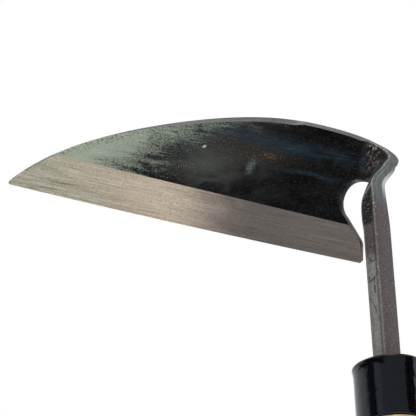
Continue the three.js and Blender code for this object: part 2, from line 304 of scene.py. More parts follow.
def rim_distance(points):
    """For each point: its distance to the outline, the arris values there, and inside or not."""
    start = RIM
    run = np.roll(RIM, -1, axis=0) - start
    length2 = (run**2).sum(1)
    distance = np.empty(len(points))
    edge = np.empty((len(points), RIM_EDGE.shape[1]))
    inside = np.empty(len(points), bool)
    next_edge = np.roll(RIM_EDGE, -1, axis=0)
    for first in range(0, len(points), 1000):
        part = points[first : first + 1000]
        offset = part[:, None, :] - start[None]
        t = np.clip((offset * run[None]).sum(2) / length2, 0, 1)
        gap = np.linalg.norm(offset - t[..., None] * run[None], axis=2)
        near = gap.argmin(1)
        rows = np.arange(len(part))
        distance[first : first + 1000] = gap[rows, near]
        share = t[rows, near][:, None]
        edge[first : first + 1000] = RIM_EDGE[near] * (1 - share) + next_edge[near] * share
        z0, z1 = start[None, :, 1], (start + run)[None, :, 1]
        crosses = (z0 > part[:, 1:2]) != (z1 > part[:, 1:2])
        rise = np.where(run[None, :, 1] == 0, 1, run[None, :, 1])
        at_x = start[None, :, 0] + (part[:, 1:2] - z0) * run[None, :, 0] / rise
        inside[first : first + 1000] = (crosses & (at_x > part[:, 0:1])).sum(1) % 2 == 1
    return distance, edge, inside


def chamfer_width(s):
    """Width of the ground strip along the spine. It thins to the tip and to the corner."""
    ribbon = RIBBON_WIDTH * smoothstep(s, SPINE_FROM, SPINE_FROM + 8)
    strip = (CHAMFER_WIDTH - RIBBON_WIDTH) * smoothstep(s, CHAMFER_FROM, CHAMFER_FROM + 6)
    return (ribbon + strip) * (1 - smoothstep(s, CHAMFER_THINS, CHAMFER_TO)) ** 0.8


def near_spine(x, z):
    s, w = blade_coordinates(x, blade_front(x, z), z)
    return (s > SPINE_FROM) & (w > 20) & (z > MOUTH + 90)


def rounding(distance, radius):
    """How far a rounded arris falls away at a distance from the outline."""
    inset = radius - np.clip(distance, 0, radius)
    return radius - np.sqrt(np.maximum(radius**2 - inset**2, 0))


def chamfer(x, z, distance):
    """How far the ground strip along the spine falls away."""
    s, _ = blade_coordinates(x, blade_front(x, z), z)
    fall = CHAMFER_SLOPE * np.maximum(chamfer_width(s) - distance, 0)
    return np.where(near_spine(x, z), fall, 0)


# ---- flat mesh under the forging

def blade_line(height, depth, s_from=-3, s_to=EDGE_LENGTH + 5, step=2.0):
    """A line across the blade, seen from the front: height and depth are given at each s."""
    count = round((s_to - s_from) / step)
    stations = np.linspace(s_from, s_to, count + 1)
    points = [blade_point(s, height(s), depth(s)) for s in stations]
    return [(point[0], point[2]) for point in points]


def circle_line(x, z, radius, count):
    turns = np.linspace(0, math.tau, count, endpoint=False)
    points = [(x + radius * math.cos(t), z + radius * math.sin(t)) for t in turns]
    return [*points, points[0]]


def chamfer_line():
    inward = rim_inward()
    s, _ = blade_coordinates(RIM[:, 0], blade_front(RIM[:, 0], RIM[:, 1]), RIM[:, 1])
    on_strip = near_spine(RIM[:, 0], RIM[:, 1]) & (s > 7) & (s < CHAMFER_TO - 6)
    width = chamfer_width(s)
    return [tuple(RIM[i] + inward[i] * width[i]) for i in np.flatnonzero(on_strip)]


def arris_rows():
    """Points in rows beside the outline, where the roundings need them."""
    inward = rim_inward()
    front, back = RIM_EDGE[:, 0], RIM_EDGE[:, 1]
    insets = [front * (1 - math.cos(math.radians(turn))) for turn in (15, 35, 60, 90)]
    insets += [back, np.maximum(front, back) + 0.3]
    points = np.concatenate([RIM + inward * inset[:, None] for inset in insets])
    distance, _, inside = rim_distance(points)
    return points[inside & (distance > np.concatenate(insets) - 0.01) & (distance > 0.012)]


def grid_points(x0, x1, z0, z1, step):
    rows = np.arange(z0, z1, step * 0.866)
    points = []
    for i, z in enumerate(rows):
        shift = step / 2 if i % 2 else 0
        points += [(x, z) for x in np.arange(x0 + shift, x1, step)]
    return np.array(points)


def clear_of_lines(points, lines, clearance):
    keep = np.ones(len(points), bool)
    for line in lines:
        nodes = np.array(line)
        for a, b in zip(nodes[:-1], nodes[1:]):
            run = b - a
            t = np.clip((points - a) @ run / (run @ run), 0, 1)
            keep &= np.linalg.norm(points - a - t[:, None] * run, axis=1) > clearance
    return points[keep]


def flat_mesh():
    """Triangles over the outline, and the places where creases run."""
    # top of the bevel, seam of iron and steel, top of the steel, ground strip, pin
    lines = [
        blade_line(bevel_width, lambda s: 0),
        blade_line(seam_height, lambda s: blade_thickness(s) - STEEL_THICK),
        blade_line(lambda s: STEEL_HEIGHT, blade_thickness, -1, 156),
        chamfer_line(),
        circle_line(PIN_X, PIN_Z, PIN_RADIUS + FIT, 28),
    ]
    coarse = grid_points(-190, FINE_LEFT, MOUTH + 40, MOUTH + 160, COARSE_STEP)
    fine = grid_points(FINE_LEFT, 8, MOUTH - 8, MOUTH + 160, FINE_STEP)
    tang = grid_points(-9, 5, MOUTH - 80, MOUTH - 8, COARSE_STEP)
    grid = np.concatenate([coarse, fine, tang])
    distance, edge, inside = rim_distance(grid)
    grid = grid[inside & (distance > edge[:, :2].max(1) + 0.6)]
    grid = clear_of_lines(grid, lines, 0.45)
    points = [Vector(p) for p in RIM]
    edges = [(i, (i + 1) % len(RIM)) for i in range(len(RIM))]
    for line in lines:
        first = len(points)
        points += [Vector(p) for p in line]
        edges += [(first + i, first + i + 1) for i in range(len(line) - 1)]
    points += [Vector(p) for p in arris_rows()]
    points += [Vector(p) for p in grid]
    flat = delaunay_2d_cdt(points, edges, [], 0, 1e-6, True)
    places = np.array([tuple(p) for p in flat[0]])
    triangles = np.array([tuple(f) for f in flat[2]])
    creases = set()
    for edge, sources in zip(flat[1], flat[4]):
        if any(len(RIM) <= source < len(edges) for source in sources):
            creases.add(frozenset(edge))
    _, _, inside = rim_distance(places[triangles].mean(1))
    return places, triangles[inside], creases


# ---- forging and steel strip

def undulation(s, w):
    """The slight waves that hammering leaves in the flat of the blade, in millimetres."""
    long = [noise.noise(Vector((a / 16, b / 9, 3.1))) * 0.07 for a, b in zip(s, w)]
    short = [noise.noise(Vector((a / 5, b / 4, 7.7))) * 0.02 for a, b in zip(s, w)]
    return np.array(long) + np.array(short)


def slab_faces(triangles, front, rear, paint):
    """Faces of a closed solid over flat triangles, and the paint of each. A corner is a place
    and a layer: front names the layer before the triangles, and rear the one behind each."""
    faces = []
    paints = []
    sides = {}
    for t, (a, b, c) in enumerate(triangles):
        faces.append([(a, front), (b, front), (c, front)])
        faces.append([(c, rear[t]), (b, rear[t]), (a, rear[t])])
        paints += [paint[t], 0]
        for i, j in ((a, b), (b, c), (c, a)):
            sides.setdefault(frozenset((i, j)), []).append((t, i, j))
    for owners in sides.values():
        t, i, j = owners[0]
        if len(owners) == 1:
            near, far = front, rear[t]
        elif rear[t] != rear[owners[1][0]]:
            near, far = rear[t], rear[owners[1][0]]
        else:
            continue
        faces.append([(j, near), (i, near), (i, far), (j, far)])
        paints.append(0)
    return faces, paints


def slab_object(name, blank, kept, front, rear, paint):
    """The solid between two layers of the blank, over the triangles that are kept."""
    faces, paints = slab_faces(blank.triangles[kept], front, rear, paint)
    corners = list(dict.fromkeys(corner for face in faces for corner in face))
    number = {corner: n for n, corner in enumerate(corners)}
    points = [
        (blank.places[i][0] * MM, blank.layers[layer][i] * MM, blank.places[i][1] * MM)
        for i, layer in corners
    ]
    mesh = bpy.data.meshes.new(name)
    mesh.from_pydata(points, [], [[number[corner] for corner in face] for face in faces])
    mesh.polygons.foreach_set("material_index", paints)
    used = [i for i, _ in corners]
    stored = {
        "inset": blank.distance[used],
        # wear: how bright the arris is worn, partly as painted highlight
        "wear": blank.edge[used, 2],
        "depth": [1 if layer == "back" else 0 for _, layer in corners],
    }
    for label, values in stored.items():
        attribute = mesh.attributes.new(label, "FLOAT", "POINT")
        attribute.data.foreach_set("value", np.array(values, np.float32))
    crease = mesh.attributes.new("sharp_edge", "BOOLEAN", "EDGE")
    for edge in mesh.edges:
        crease.data[edge.index].value = frozenset(used[v] for v in edge.vertices) in blank.creases
    shell = opened(mesh, 2e-7)
    for edge in shell.edges:
        if len(edge.link_faces) == 2 and edge.calc_face_angle(0) > math.radians(38):
            edge.smooth = False
    for face in shell.faces:
        face.smooth = True
    shell.to_mesh(mesh)
    shell.free()
    return bpy.data.objects.new(name, mesh)


def opened(mesh, gap):
    """The mesh opened for editing, with corners closer than the gap joined and faces outward."""
    shell = bmesh.new()
    shell.from_mesh(mesh)
    if gap:
        bmesh.ops.remove_doubles(shell, verts=shell.verts, dist=gap)
    bmesh.ops.recalc_face_normals(shell, faces=shell.faces)
    return shell


def link(thing):
    """Puts an object in the scene."""
    bpy.context.scene.collection.objects.link(thing)


def add_piece(piece, node, materials):
    link(piece)
    for material in materials:
        piece.data.materials.append(material)
    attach(piece, "root")
    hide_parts(node)


class Blank:
    """The flat mesh that the forging and the steel are both built on."""

    def __init__(self):
        self.places, self.triangles, self.creases = flat_mesh()
        self.distance, self.edge, _ = rim_distance(self.places)
        self.layers = self.faces_of_layers(self.places[:, 0], self.places[:, 1])
        self.sort_triangles(self.places[self.triangles].mean(1))

    def faces_of_layers(self, x, z):
        """y of each layer. The pocket is where the steel lies against the iron."""
        front, back = forging_faces(x, z)
        s, w = blade_coordinates(x, front, z)
        hammered = 0.4 + 0.6 * (joggle(x, z) * smoothstep(s, -3, 4))
        bevelled = np.where(s > -2, bevel_front(x, z), -1e9)
        calm = smoothstep(self.distance, 0.5, 4)
        plain = front + undulation(s, w) * calm * hammered * smoothstep(w - bevel_width(s), 0, 3)
        rear = back - undulation(s + 300, w) * calm * hammered
        front_round = rounding(self.distance, self.edge[:, 0])
        pocket = back - STEEL_THICK / BACK[1]
        half = (back - front) * 0.46
        drop = np.minimum(np.maximum(front_round, chamfer(x, z, self.distance)), 1.3 * half)
        eased = bevelled + np.minimum(front_round, 0.12)
        front_face = np.maximum(plain + drop, eased)
        s_bevel, w_bevel = blade_coordinates(x, bevelled, z)
        above_seam = (w_bevel > seam_height(s_bevel) + 0.01) | (bevelled < plain)
        return {
            "front": front_face,
            "back": rear - np.minimum(rounding(self.distance, self.edge[:, 1]), half),
            "pocket": np.maximum(pocket, front_face),
            "steel": np.where(above_seam, pocket + 0.02, eased),
        }

    def sort_triangles(self, middle):
        """Which triangles have steel behind them, iron in them, and a ground face in front."""
        x, z = middle[:, 0], middle[:, 1]
        front, back = forging_faces(x, z)
        bevel = bevel_front(x, z)
        s, w = blade_coordinates(x, np.maximum(front, bevel), z)
        back_s, back_w = blade_coordinates(x, back, z)
        self.laminated = (back_s > -6) & (back_w < STEEL_HEIGHT) & (x < BLADE_END)
        on_bevel = (bevel > front) & (s > -2) & (x < BLADE_END)
        distance, _, _ = rim_distance(middle)
        on_chamfer = near_spine(x, z) & (distance < chamfer_width(s))
        self.ground = on_bevel | on_chamfer
        below_seam = on_bevel & (w < seam_height(s))
        hole = np.hypot(x - PIN_X, z - PIN_Z) < PIN_RADIUS
        self.iron = ~below_seam & ~hole


def blade_forging(blank, iron, ground):
    kept = np.flatnonzero(blank.iron)
    rear = ["pocket" if blank.laminated[t] else "back" for t in kept]
    paint = [int(blank.ground[t]) for t in kept]
    piece = slab_object("blade_and_neck", blank, kept, "front", rear, paint)
    add_piece(piece, "blade_forging", [iron, ground])


def edge_steel(blank, steel):
    kept = np.flatnonzero(blank.laminated)
    piece = slab_object("steel_strip", blank, kept, "steel", ["back"] * len(kept), [0] * len(kept))
    add_piece(piece, "edge_steel", [steel])


# ---- turned and cut pieces

def spline(points, count):
    """Catmull-Rom curve through the points."""
    points = [np.array(p, float) for p in points]
    last = len(points) - 1
    out = []
    for i in range(count + 1):
        position = last * i / count
        k = min(int(position), last - 1)
        t = position - k
        p1, p2 = points[k], points[k + 1]
        p0 = points[k - 1] if k > 0 else p1
        p3 = points[k + 2] if k + 2 <= last else p2
        v0, v1 = (p2 - p0) / 2, (p3 - p1) / 2
        out.append(
            (2 * p1 - 2 * p2 + v0 + v1) * t**3 + (-3 * p1 + 3 * p2 - 2 * v0 - v1) * t**2 + v0 * t + p1
        )
    return out


def arc(centre, radius, start, end, count):
    """Points of (radius, z) on an arc, angles in degrees from the outward direction."""
    turns = np.radians(np.linspace(start, end, count + 1))
    return [(centre[0] + radius * math.cos(t), centre[1] + radius * math.sin(t)) for t in turns]


def turning(name, profile, segments, squeeze=1.0, carve=None, sharp=40):
    """A solid turned about Z from [radius, z] pairs. Pairs on the axis become poles."""
    vertices = []
    rings = []
    for radius, z in profile:
        first = len(vertices)
        if radius < 1e-6:
            vertices.append((0, 0, z * MM))
            rings.append([first] * segments)
            continue
        for i in range(segments):
            turn = math.tau * i / segments
            r = radius - (carve(turn, z) if carve else 0)
            vertices.append((r * math.cos(turn) * MM, r * squeeze * math.sin(turn) * MM, z * MM))
        rings.append(list(range(first, first + segments)))
    faces = []
    for low, high in zip(rings[:-1], rings[1:]):
        for i in range(segments):
            j = (i + 1) % segments
            face = (low[i], low[j], high[j], high[i])
            faces.append(tuple(dict.fromkeys(face)))
    if profile[0] == profile[-1]:
        shift = rings[-1][0]
        faces = [tuple(v - shift if v >= shift else v for v in face) for face in faces]
        vertices = vertices[:shift]
    mesh = bpy.data.meshes.new(name)
    mesh.from_pydata(vertices, [], faces)
    mesh.validate()
    finish_mesh(mesh, sharp)
    return bpy.data.objects.new(name, mesh)


def finish_mesh(mesh, sharp):
    shell = opened(mesh, 1e-6)
    shell.to_mesh(mesh)
    shell.free()
    mesh.shade_smooth()
    mesh.set_sharp_from_angle(angle=math.radians(sharp))


def prism(name, outline, y0, y1, bevel=0.0):
    """An (x, z) outline drawn along Y, with its edges eased."""
    count = len(outline)
    vertices = [(x * MM, y * MM, z * MM) for y in (y0, y1) for x, z in outline]
    faces = [tuple(range(count)), tuple(range(count, 2 * count))[::-1]]
    for i in range(count):
        j = (i + 1) % count
        faces.append((i, i + count, j + count, j))
    mesh = bpy.data.meshes.new(name)
    mesh.from_pydata(vertices, [], faces)
    if bevel:
        shell = opened(mesh, 0)
        bmesh.ops.bevel(
            shell, geom=shell.edges[:], offset=bevel * MM, segments=3, profile=0.5, affect="EDGES"
        )
        shell.to_mesh(mesh)
        shell.free()
    finish_mesh(mesh, 30)
    return bpy.data.objects.new(name, mesh)


def block(x0, x1, y0, y1, z0, z1):
    return prism("cutter", [(x0, z0), (x1, z0), (x1, z1), (x0, z1)], y0, y1)


def rod(radius, y0, y1, x, z):
    outline = circle_line(x, z, radius, 32)[:-1]
    return prism("cutter", outline, y0, y1)


def combine(piece, other, operation, sharp=40):
    """Cuts piece with other, or keeps what they share, and removes other."""
    collection = bpy.context.scene.collection
    linked = [o for o in (piece, other) if o.name not in collection.objects]
    for o in linked:
        collection.objects.link(o)
    modifier = piece.modifiers.new("cut", "BOOLEAN")
    modifier.operation = operation
    modifier.solver = "EXACT"
    modifier.object = other
    bpy.context.view_layer.update()
    shaped = bpy.data.meshes.new_from_object(
        piece.evaluated_get(bpy.context.evaluated_depsgraph_get())
    )
    piece.modifiers.clear()
    piece.data = shaped
    for o in linked:
        collection.objects.unlink(o)
    bpy.data.objects.remove(other)
    finish_mesh(piece.data, sharp)
    return piece


# ---- handle

def handle_profile():
    grip = spline(
        [
            (BUTT_RADIUS, BUTT_ROUND),
            (BUTT_RADIUS - 0.4, 14),
            (WAIST_RADIUS, 46),
            (SWELL_RADIUS, 110),
            (SWELL_RADIUS - 0.3, 170),
            (FERRULE_RADIUS, HEAD_FOOT - 40),
            (FERRULE_RADIUS, HEAD_FOOT - 0.5),
        ],
        150,
    )
    butt = [(r, 0) for r in np.linspace(0, BUTT_RADIUS - BUTT_ROUND, 9)[:-1]]
    butt += arc((BUTT_RADIUS - BUTT_ROUND, BUTT_ROUND), BUTT_ROUND, -90, 0, 8)[:-1]
    shoulder = arc((FERRULE_RADIUS - 0.5, HEAD_FOOT - 0.5), 0.5, 0, 90, 4)
    head = [
        (HEAD_RADIUS, HEAD_FOOT),
        (HEAD_RADIUS, HEAD_TOP - 0.4),
        (HEAD_RADIUS - 0.4, HEAD_TOP),
        (0, HEAD_TOP),
    ]
    return [*butt, *[tuple(p) for p in grip[:-1]], *shoulder, *head]


def shaved(turn, z):
    """Shallow flats left by the spokeshave, in millimetres below the full size."""
    fade = min(1, max(0, (HEAD_FOOT - 6 - z) / 20), max(0, (z - 3) / 12))
    around = Vector((math.cos(turn) * 1.3, math.sin(turn) * 1.3, z / 70))
    return fade * (0.09 + 0.09 * noise.noise(around) + 0.05 * abs(math.sin(turn * 7 + z / 90)))


def handle_body(name):
    return turning(name, handle_profile(), 120, OVAL, shaved)


def tack_hole():
    return rod(TACK_RADIUS + FIT, 4, 20, 0, TACK_Z)


def handle(wood):
    body = handle_body("wooden_handle")
    slot = block(
        -OVERRUN, NECK_RIGHT + FIT,
        SLOT_FRONT - FIT, SLOT_BACK + FIT, TANG_FOOT - FIT, MOUTH + 5,
    )
    half = NECK_DEPTH / 2 + FIT
    mouth = block(
        NECK_LEFT - FIT, NECK_RIGHT + FIT,
        NECK_MIDDLE - half, NECK_MIDDLE + half, MOUTH - TANG_TAPER, MOUTH + 6,
    )
    wedge = prism("cutter", wedge_outline(FIT), WEDGE_LOW[1] - FIT, WEDGE_HIGH[1] + FIT)
    pin = rod(PIN_RADIUS + FIT, -20, 20, PIN_X, PIN_Z)
    for cutter in (slot, mouth, wedge, pin, tack_hole()):
        combine(body, cutter, "DIFFERENCE")
    add_piece(body, "handle", [wood])


def slot_key(wood):
    key = handle_body("slot_filler")
    slot = block(-OVERRUN, KEY_HIGH[0], SLOT_FRONT, SLOT_BACK, KEY_LOW[2], MOUTH)
    combine(key, slot, "INTERSECT")
    add_piece(key, "slot_key", [wood])


def wedge_outline(clearance=0.0):
    """The wedge seen from the front: straight beside the tang and sloping outside."""
    left, foot, top = WEDGE_LOW[0], WEDGE_LOW[2] - clearance, WEDGE_HIGH[2]
    top += 3 * clearance
    thick = WEDGE_HIGH[0] - left
    return [
        (left - clearance, foot),
        (left + thick / 2 + clearance, foot),
        (left + thick + clearance, top),
        (left - clearance, top),
    ]


def tang_wedge(wood):
    wedge = prism("head_wedge", wedge_outline(), WEDGE_LOW[1], WEDGE_HIGH[1], bevel=0.25)
    add_piece(wedge, "tang_wedge", [wood])


# ---- ferrule, pin and tack

def ferrule(gloss):
    outer = FERRULE_RADIUS
    bead = FERRULE_RADIUS + FERRULE_BEAD
    inner = outer - FERRULE_WALL
    throat = inner - FERRULE_FLANGE
    wall = np.linspace(FERRULE_FOOT + 0.5, MOUTH - 3.6, 12)
    profile = [
        (inner, FERRULE_FOOT),
        *arc((outer - 0.4, FERRULE_FOOT + 0.4), 0.4, -90, 0, 5),
        *[(outer, z) for z in wall],
        *[(outer + flare, MOUTH - 2.9 + 0.6 * i) for i, flare in enumerate(FERRULE_FLARE)],
        (bead, MOUTH - 0.6),
        *arc((bead - 0.6, MOUTH - 0.6), 0.6, 0, 90, 6)[1:],
        (outer - 1.2, MOUTH),
        (throat + 0.6, MOUTH),
        *arc((throat + 0.4, MOUTH - 0.4), 0.4, 90, 180, 5),
        (throat, MOUTH - FERRULE_WALL),
        (inner, MOUTH - FERRULE_WALL),
        (inner, FERRULE_FOOT),
    ]
    ring = turning("black_ferrule", profile, 160, OVAL, ferrule_dents, sharp=50)
    combine(ring, tack_hole(), "DIFFERENCE", sharp=50)
    add_piece(ring, "ferrule", [gloss])


def ferrule_dents(turn, z):
    """The ring isn't quite true: shallow hollows, in millimetres below the full size."""
    if z < FERRULE_FOOT + 0.6 or z > MOUTH - 3.7:
        return 0
    place = Vector((math.cos(turn) * 2.2, math.sin(turn) * 2.2, z / 11))
    return 0.03 + 0.03 * noise.noise(place)


def laid(piece, x, z, side):
    """Turns an upright piece to lie along Y, its top to the front (1) or to the back (-1)."""
    place = Matrix.Translation((x * MM, 0, z * MM))
    piece.data.transform(place @ Matrix.Rotation(side * math.pi / 2, 4, "X"))
    return piece


def cross_pin(steel):
    dome = arc((0, 0), PIN_RADIUS, 0, 90, 6)
    cap = [(r, PIN_HIGH[1] - PIN_DOME + PIN_DOME * h / PIN_RADIUS) for r, h in dome]
    profile = [*[(r, -y) for r, y in reversed(cap)], *cap]
    pin = laid(turning("handle_pin", profile, 48), PIN_X, PIN_Z, 1)
    add_piece(pin, "cross_pin", [steel])


def ferrule_tack(steel):
    head_radius = (TACK_HIGH[0] - TACK_LOW[0]) / 2
    head_foot = TACK_HIGH[1] - TACK_DOME
    dome = arc((0, 0), 1, 12, 90, 7)
    profile = [
        (0, TACK_LOW[1]),
        (TACK_RADIUS, TACK_LOW[1] + TACK_POINT),
        (TACK_RADIUS, head_foot),
        (head_radius - 0.1, head_foot),
        (head_radius, head_foot + 0.1),
        *[(head_radius * r, head_foot + TACK_DOME * h) for r, h in dome],
    ]
    nail = laid(turning("ferrule_nail", profile, 48), 0, TACK_Z, -1)
    add_piece(nail, "ferrule_tack", [steel])


# ---- material helpers

def colour(red, green, blue):
    """A colour given as 0 to 255 on screen, as the linear value that the shader takes."""
    out = []
    for value in (red, green, blue):
        share = value / 255
        out.append(share / 12.92 if share <= 0.04045 else ((share + 0.055) / 1.055) ** 2.4)
    return (*out, 1.0)


class Value:
    """An output of a node. A sum or product with it adds the node that works it out."""

    def __init__(self, nodes, socket):
        self.nodes = nodes
        self.socket = socket

    def __add__(self, other):
        return self.nodes.math("ADD", self, other)

    def __sub__(self, number):
        return self.nodes.math("ADD", self, -number)

    def __mul__(self, other):
        return self.nodes.math("MULTIPLY", self, other)


class Nodes:
    """A node tree. Each method adds a node and gives back its output."""

    def __init__(self, tree):
        self.tree = tree

    def add(self, kind, inputs=(), output=0, **settings):
        node = self.tree.nodes.new(kind)
        for key, value in settings.items():
            setattr(node, key, value)
        for key, value in dict(inputs).items():
            self.feed(node.inputs[key], value)
        return Value(self, node.outputs[output]) if node.outputs else None

    def feed(self, socket, value):
        if isinstance(value, Value):
            self.tree.links.new(value.socket, socket)
        else:
            socket.default_value = value

    def math(self, operation, a, b=0.0):
        return self.add("ShaderNodeMath", {0: a, 1: b}, operation=operation)

    def most(self, a, b):
        """The larger of two values."""
        return self.math("MAXIMUM", a, b)

    def step(self, value, low, high, start=0.0, end=1.0):
        """Smooth change from start to end as value goes from low to high."""
        inputs = {"Value": value, "From Min": low, "From Max": high, "To Min": start, "To Max": end}
        return self.add("ShaderNodeMapRange", inputs, interpolation_type="SMOOTHSTEP")

    def hump(self, value, middle, half):
        """1 at the middle, 0 beyond half each side."""
        return self.step(self.math("ABSOLUTE", value - middle), half, 0.0)

    def blend(self, share, a, b):
        """A number between a and b."""
        return self.add("ShaderNodeMix", {0: share, 2: a, 3: b}, data_type="FLOAT")

    def mix(self, share, a, b):
        """A colour between a and b."""
        return self.add("ShaderNodeMix", {0: share, 6: a, 7: b}, 2, data_type="RGBA")

    def part(self, vector, axis):
        """One coordinate of a vector."""
        return self.add("ShaderNodeSeparateXYZ", {"Vector": vector}, axis)

    def scaled(self, vector, scale, turn=(0, 0, 0), move=(0, 0, 0)):
        inputs = {"Vector": vector, "Scale": scale, "Rotation": turn, "Location": move}
        return self.add("ShaderNodeMapping", inputs)

    def noise(self, vector, scale, detail, rough, twist=0.0, **mapping):
        place = self.scaled(vector, scale, **mapping)
        inputs = {"Vector": place, "Scale": 1.0, "Detail": detail, "Roughness": rough, "Distortion": twist}
        return self.add("ShaderNodeTexNoise", inputs, "Fac")


class Paint(Nodes):
    """One material, whose base colour is built up in coats."""

    def __init__(self, name, **shader):
        self.material = bpy.data.materials.new(name)
        self.material.use_nodes = True
        super().__init__(self.material.node_tree)
        self.shader = self.tree.nodes["Principled BSDF"]
        self.point = self.add("ShaderNodeTexCoord", output="Object")
        self.base = None
        self.set(**shader)

    def set(self, **shader):
        for key, value in shader.items():
            self.feed(self.shader.inputs[key.replace("_", " ")], value)

    def mix(self, share, a, b):
        """A colour between a and b. Either may be given as 0 to 255 on screen."""
        a, b = (colour(*tone) if isinstance(tone, tuple) else tone for tone in (a, b))
        return super().mix(share, a, b)

    def coat(self, share, tone):
        self.base = self.mix(share, self.base, tone)

    def finish(self, roughness, normal):
        self.set(Base_Color=self.base, Roughness=roughness, Normal=normal)
        return self.material

    def cells(self, vector, scale, smooth=0.0):
        """Distance to the nearest of many scattered points."""
        inputs = {"Vector": self.scaled(vector, scale), "Scale": 1.0}
        if not smooth:
            return self.add("ShaderNodeTexVoronoi", inputs, feature="F1")
        inputs["Smoothness"] = smooth
        return self.add("ShaderNodeTexVoronoi", inputs, feature="SMOOTH_F1")

    def stored(self, label):
        """A value stored with the mesh."""
        return self.add("ShaderNodeAttribute", (), "Fac", attribute_name=label, attribute_type="GEOMETRY")

    def bump(self, height, distance, below=None):
        inputs = {"Height": height, "Distance": distance * MM, "Strength": 1.0}
        if below:
            inputs["Normal"] = below
        return self.add("ShaderNodeBump", inputs)

    def millimetres(self, move=(0, 0, 0)):
        return self.scaled(self.point, (1 / MM, 1 / MM, 1 / MM), move=move)

    def blade(self):
        """Blade coordinates in millimetres as one vector, then s and w."""
        start = self.add("ShaderNodeVectorMath", {0: self.point, 1: tuple(HEEL * MM)}, operation="SUBTRACT")
        parts = [
            self.add("ShaderNodeVectorMath", {0: start, 1: tuple(axis / MM)}, 1, operation="DOT_PRODUCT")
            for axis in (ALONG, SPINE, BACK)
        ]
        vector = self.add("ShaderNodeCombineXYZ", {0: parts[0], 1: parts[1], 2: parts[2]})
        return vector, parts[0], parts[1]


# ---- forged iron

class IronPaint(Paint):
    """The forging's material, with the fields that its coats share."""

    def __init__(self):
        super().__init__("forged_iron", Metallic=0.0, Specular_IOR_Level=0.22)
        self.place, self.s, self.w = self.blade()
        self.level = self.part(self.point, 2) * (1 / MM)
        self.inset = self.stored("inset")
        self.depth = self.stored("depth")
        self.beside = self.step(self.part(self.point, 0) * (1 / MM), -12, -6)
        self.streaks = self.noise(self.place, (0.035, 0.5, 0.3), 4, 0.62, 0.25)
        self.hairs = self.noise(self.place, (0.09, 1.7, 1), 3, 0.6, 0.1)
        self.cloud = self.noise(self.place, (0.07, 0.13, 0.35), 4, 0.6, 0.6)
        self.pebble = self.noise(self.place, (0.75, 0.95, 0.9), 3, 0.55, 0.4)
        self.grit = self.noise(self.place, (1.5, 1.8, 1.6), 2, 0.6)
        self.sway = self.cloud - 0.5


def forged_iron():
    """Black fire scale: pale and glossy towards the tip, blue bands over the middle, a worn neck. The pale
    tip and the blue bands are partly painted reflection, and the bright arris lines partly painted
    highlight.
    """
    p = IronPaint()
    middle = dark_ground(p)
    pale = tip_oxide_and_sheen(p)
    blue_bands(p)
    back_weld(p)
    front_marks(p)
    bend_oxide_and_glints(p)
    worn = neck_wear(p)
    side = right_side(p)
    arris_wear(p, side)
    rough = p.blend(middle, 0.24, 0.36)
    rough = p.blend(pale, rough, 0.24)
    rough = p.blend(p.most(worn, side), rough, 0.45)
    rough = p.blend(p.step(p.s, 9, 4) * p.step(p.level, MOUTH + 72, MOUTH + 78), rough, 0.75)
    pits = p.step(p.cells(p.place, (0.55, 0.75, 0.7), 0.3), 0.12, 0.42)
    relief = p.bump(p.pebble * 0.8 + pits * 0.5, 0.12)
    return p.finish(rough + p.step(p.pebble, 0.4, 0.7) * 0.08, p.bump(p.grit, 0.06, relief))


def dark_ground(p):
    """Greyer and browner in the middle, almost black towards the neck. The grey towards the spine is partly
    painted sheen, and the dark patch above the bevel is a painted dark reflection.
    """
    s, w, sway, cloud, grit = p.s, p.w, p.sway, p.cloud, p.grit
    # Greyer towards the spine: partly painted sheen.
    middle = p.step(s, 30, 84) * p.step(w + sway * 18, 14, 27, 0.25, 1.0)
    p.base = p.mix(p.step(cloud, 0.35, 0.68), (3, 3, 4), (14, 14, 15))
    p.coat(middle, p.mix(p.step(cloud, 0.36, 0.66), (32, 33, 34), (54, 54, 52)))
    fog = p.hump(s, 80, 17) * p.hump(w + sway * 12, 25, 12)
    p.coat(fog * p.step(p.hairs, 0.3, 0.6, 0.5, 1.0), (66, 70, 66))
    # Painted dark reflection: a darker patch above the bevel.
    dark_reflection = p.hump(s, 108, 30) * p.hump(w + sway * 10, 17, 9)
    p.coat(dark_reflection * 0.85, (9, 9, 10))
    brown = p.hump(w + sway * 10, 33, 9) * p.hump(s, 62, 44)
    p.coat(brown * 0.55, (44, 40, 33))
    p.coat(p.step(grit, 0.54, 0.72) * brown * 0.8, (100, 94, 78))
    p.coat(p.step(grit, 0.60, 0.74) * middle * 0.4, (84, 84, 80))
    sparks = p.step(grit, 0.66, 0.74) * p.step(cloud, 0.45, 0.6) * p.step(p.beside, 1, 0)
    p.coat(sparks * 0.35, (104, 100, 96))
    return middle


